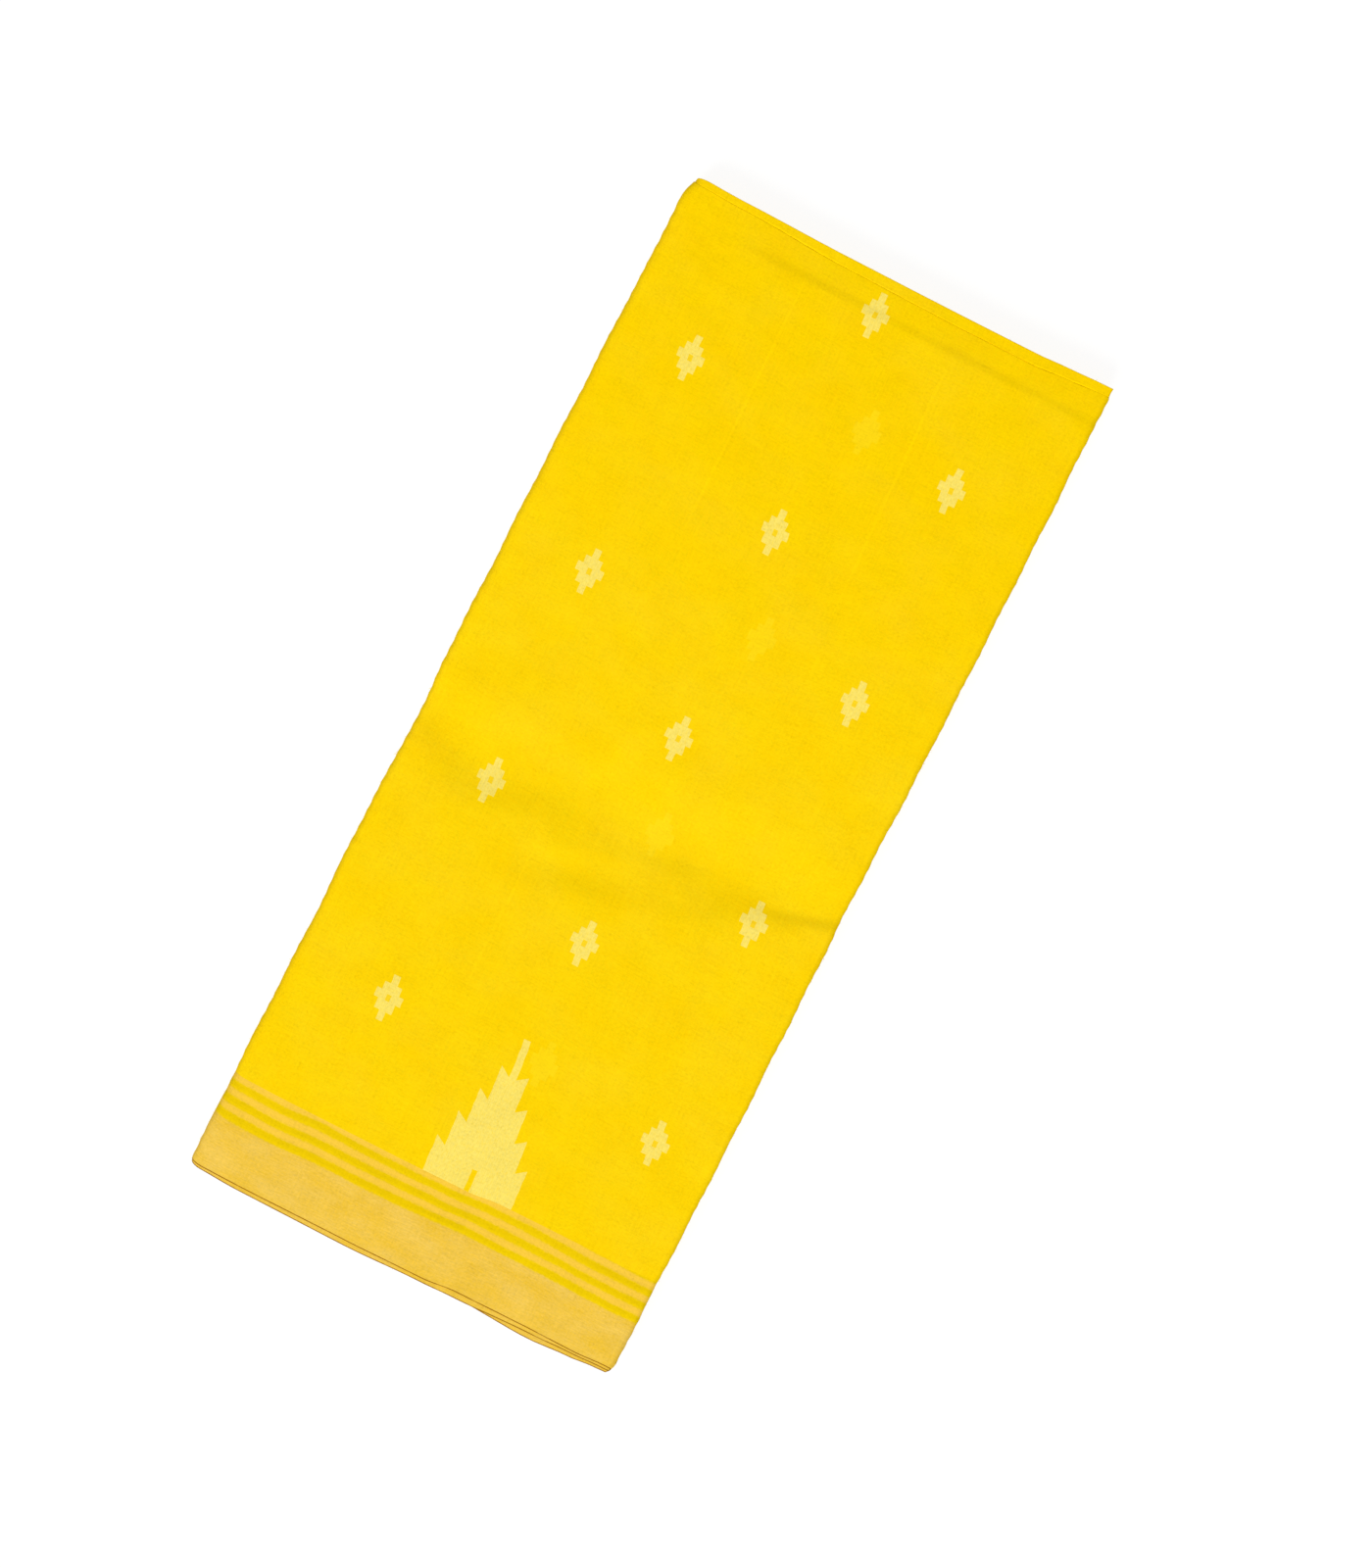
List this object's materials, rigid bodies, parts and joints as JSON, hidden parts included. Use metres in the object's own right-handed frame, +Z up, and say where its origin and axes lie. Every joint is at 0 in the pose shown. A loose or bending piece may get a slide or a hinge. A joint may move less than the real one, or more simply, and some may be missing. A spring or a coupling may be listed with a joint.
{
  "type": "folded saree",
  "caption": "Cotton saree folded flat to a long rectangle, with a round turn down one side, layered edges and a woven gold border at one end.",
  "frame": {"origin": "centre of the bundle in plan, on the surface that it lies on", "axes": "+Y along the long sides, from the selvedge end towards the folds at the middle of the cloth's width; +X along the short ends, with the turn at -X; +Z up through the layers"},
  "size_m": [0.2512, 0.5928, 0.02],
  "materials": {
    "field_cloth": "matt plain-weave cotton",
    "border_cloth": "matt gold thread and cotton, ribbed along the border"
  },
  "bodies": {
    "root": {"top_field": "field_cloth", "top_border": "border_cloth", "spine_field": "field_cloth", "spine_border": "border_cloth", "under_field": "field_cloth", "under_border": "border_cloth", "second_leaf_field": "field_cloth", "second_leaf_border": "border_cloth", "third_leaf_border": "border_cloth", "folded_layers": "field_cloth"}
  },
  "joints": []
}
